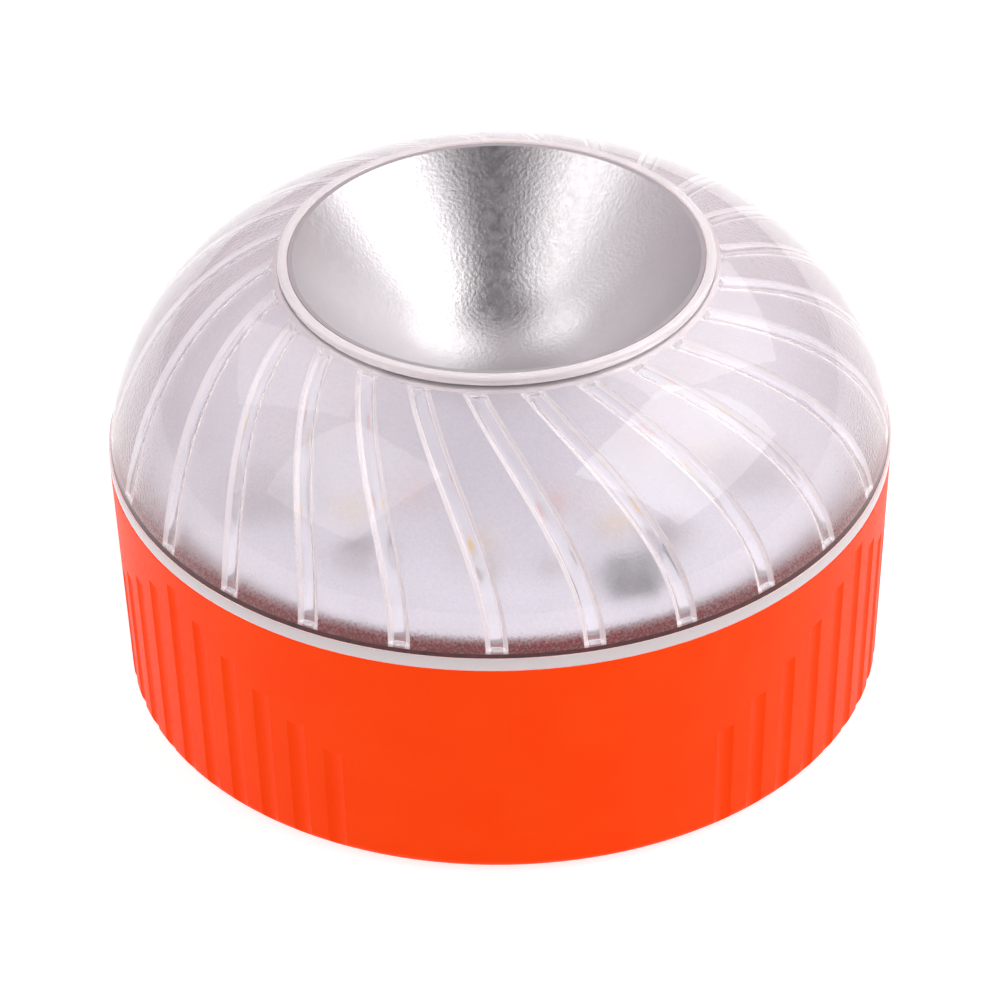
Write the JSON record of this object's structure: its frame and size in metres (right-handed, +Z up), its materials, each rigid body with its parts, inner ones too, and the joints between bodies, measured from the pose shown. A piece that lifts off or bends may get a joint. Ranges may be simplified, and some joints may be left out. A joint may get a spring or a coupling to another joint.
{
  "type": "led safety flare",
  "caption": "Round magnetic roadside beacon with a fluted orange cup, a clear ribbed dome over an LED board and a silver funnel reflector sunk in its top.",
  "frame": {"origin": "centre of the ground circle of the rubber foot", "axes": "+Z up along the beacon's axis, -Y towards the power button and the front, X along the cells and the door's long side"},
  "size_m": [0.08, 0.08, 0.0485],
  "materials": {
    "orange_plastic": "satin moulded ABS",
    "clear_plastic": "polished outside, fine grain between the ribs inside",
    "metallised": "satin metallised, fine grain",
    "rubber": "moulded, matte",
    "seal_rubber": "moulded, soft",
    "red_silicone": "moulded, soft",
    "white_board": "white solder mask",
    "lamp_package": "moulded ceramic white",
    "amber_phosphor": "amber silicone lens",
    "yellow_phosphor": "yellow silicone lens",
    "screw_steel": "zinc plated",
    "coil_ferrite": "pressed ferrite",
    "chip_black": "moulded epoxy",
    "capacitor_tan": "fired ceramic",
    "tray_plastic": "moulded, fine texture",
    "cell_wrap": "plain film wrap",
    "contact_metal": "nickel plated",
    "switch_green": "green solder mask",
    "plunger_plastic": "moulded",
    "button_plastic": "soft touch",
    "magnet_plate": "nickel plated"
  },
  "bodies": {
    "housing": {"base_cup": "orange_plastic", "rubber_foot": "rubber", "clear_dome": "clear_plastic", "dome_seal_ring": "red_silicone", "reflector_cone": "metallised", "led_board": "white_board", "inner_led_packages": "lamp_package", "inner_led_lenses": "amber_phosphor", "outer_led_packages": "lamp_package", "outer_led_lenses": "yellow_phosphor", "board_screws": "screw_steel", "power_coils": "coil_ferrite", "driver_chip": "chip_black", "capacitors": "capacitor_tan", "resistors": "chip_black", "battery_tray": "tray_plastic", "tray_screws": "screw_steel", "battery_cell_1": "cell_wrap", "battery_cell_2": "cell_wrap", "battery_cell_3": "cell_wrap", "flat_contacts": "contact_metal", "spring_contacts": "contact_metal", "supply_pins": "contact_metal", "signal_pins": "contact_metal", "button_seal": "seal_rubber", "switch_board": "switch_green", "tact_switch_case": "chip_black"},
    "power_button": {"power_button": "button_plastic"},
    "switch_plunger": {"tact_plunger": "plunger_plastic"},
    "battery_door": {"battery_door": "orange_plastic", "door_gasket": "seal_rubber", "door_screws": "screw_steel", "magnet": "magnet_plate", "magnet_back_plate": "screw_steel"}
  },
  "joints": [
    {"name": "button_press", "type": "slide", "parent": "housing", "child": "power_button", "axis": [0, 0, 1], "range_m": [0, 0.0005], "stiffness_N_per_m": 300, "springref_m": -0.001},
    {"name": "plunger_press", "type": "slide", "parent": "housing", "child": "switch_plunger", "axis": [0, 0, 1], "range_m": [0, 0.0005]},
    {"name": "door_lift", "type": "slide", "parent": "housing", "child": "battery_door", "axis": [0, 0, -1], "range_m": [0, 0.02]}
  ],
  "couplings": [
    {"joint": "plunger_press", "follows": "button_press", "ratio": 1}
  ]
}
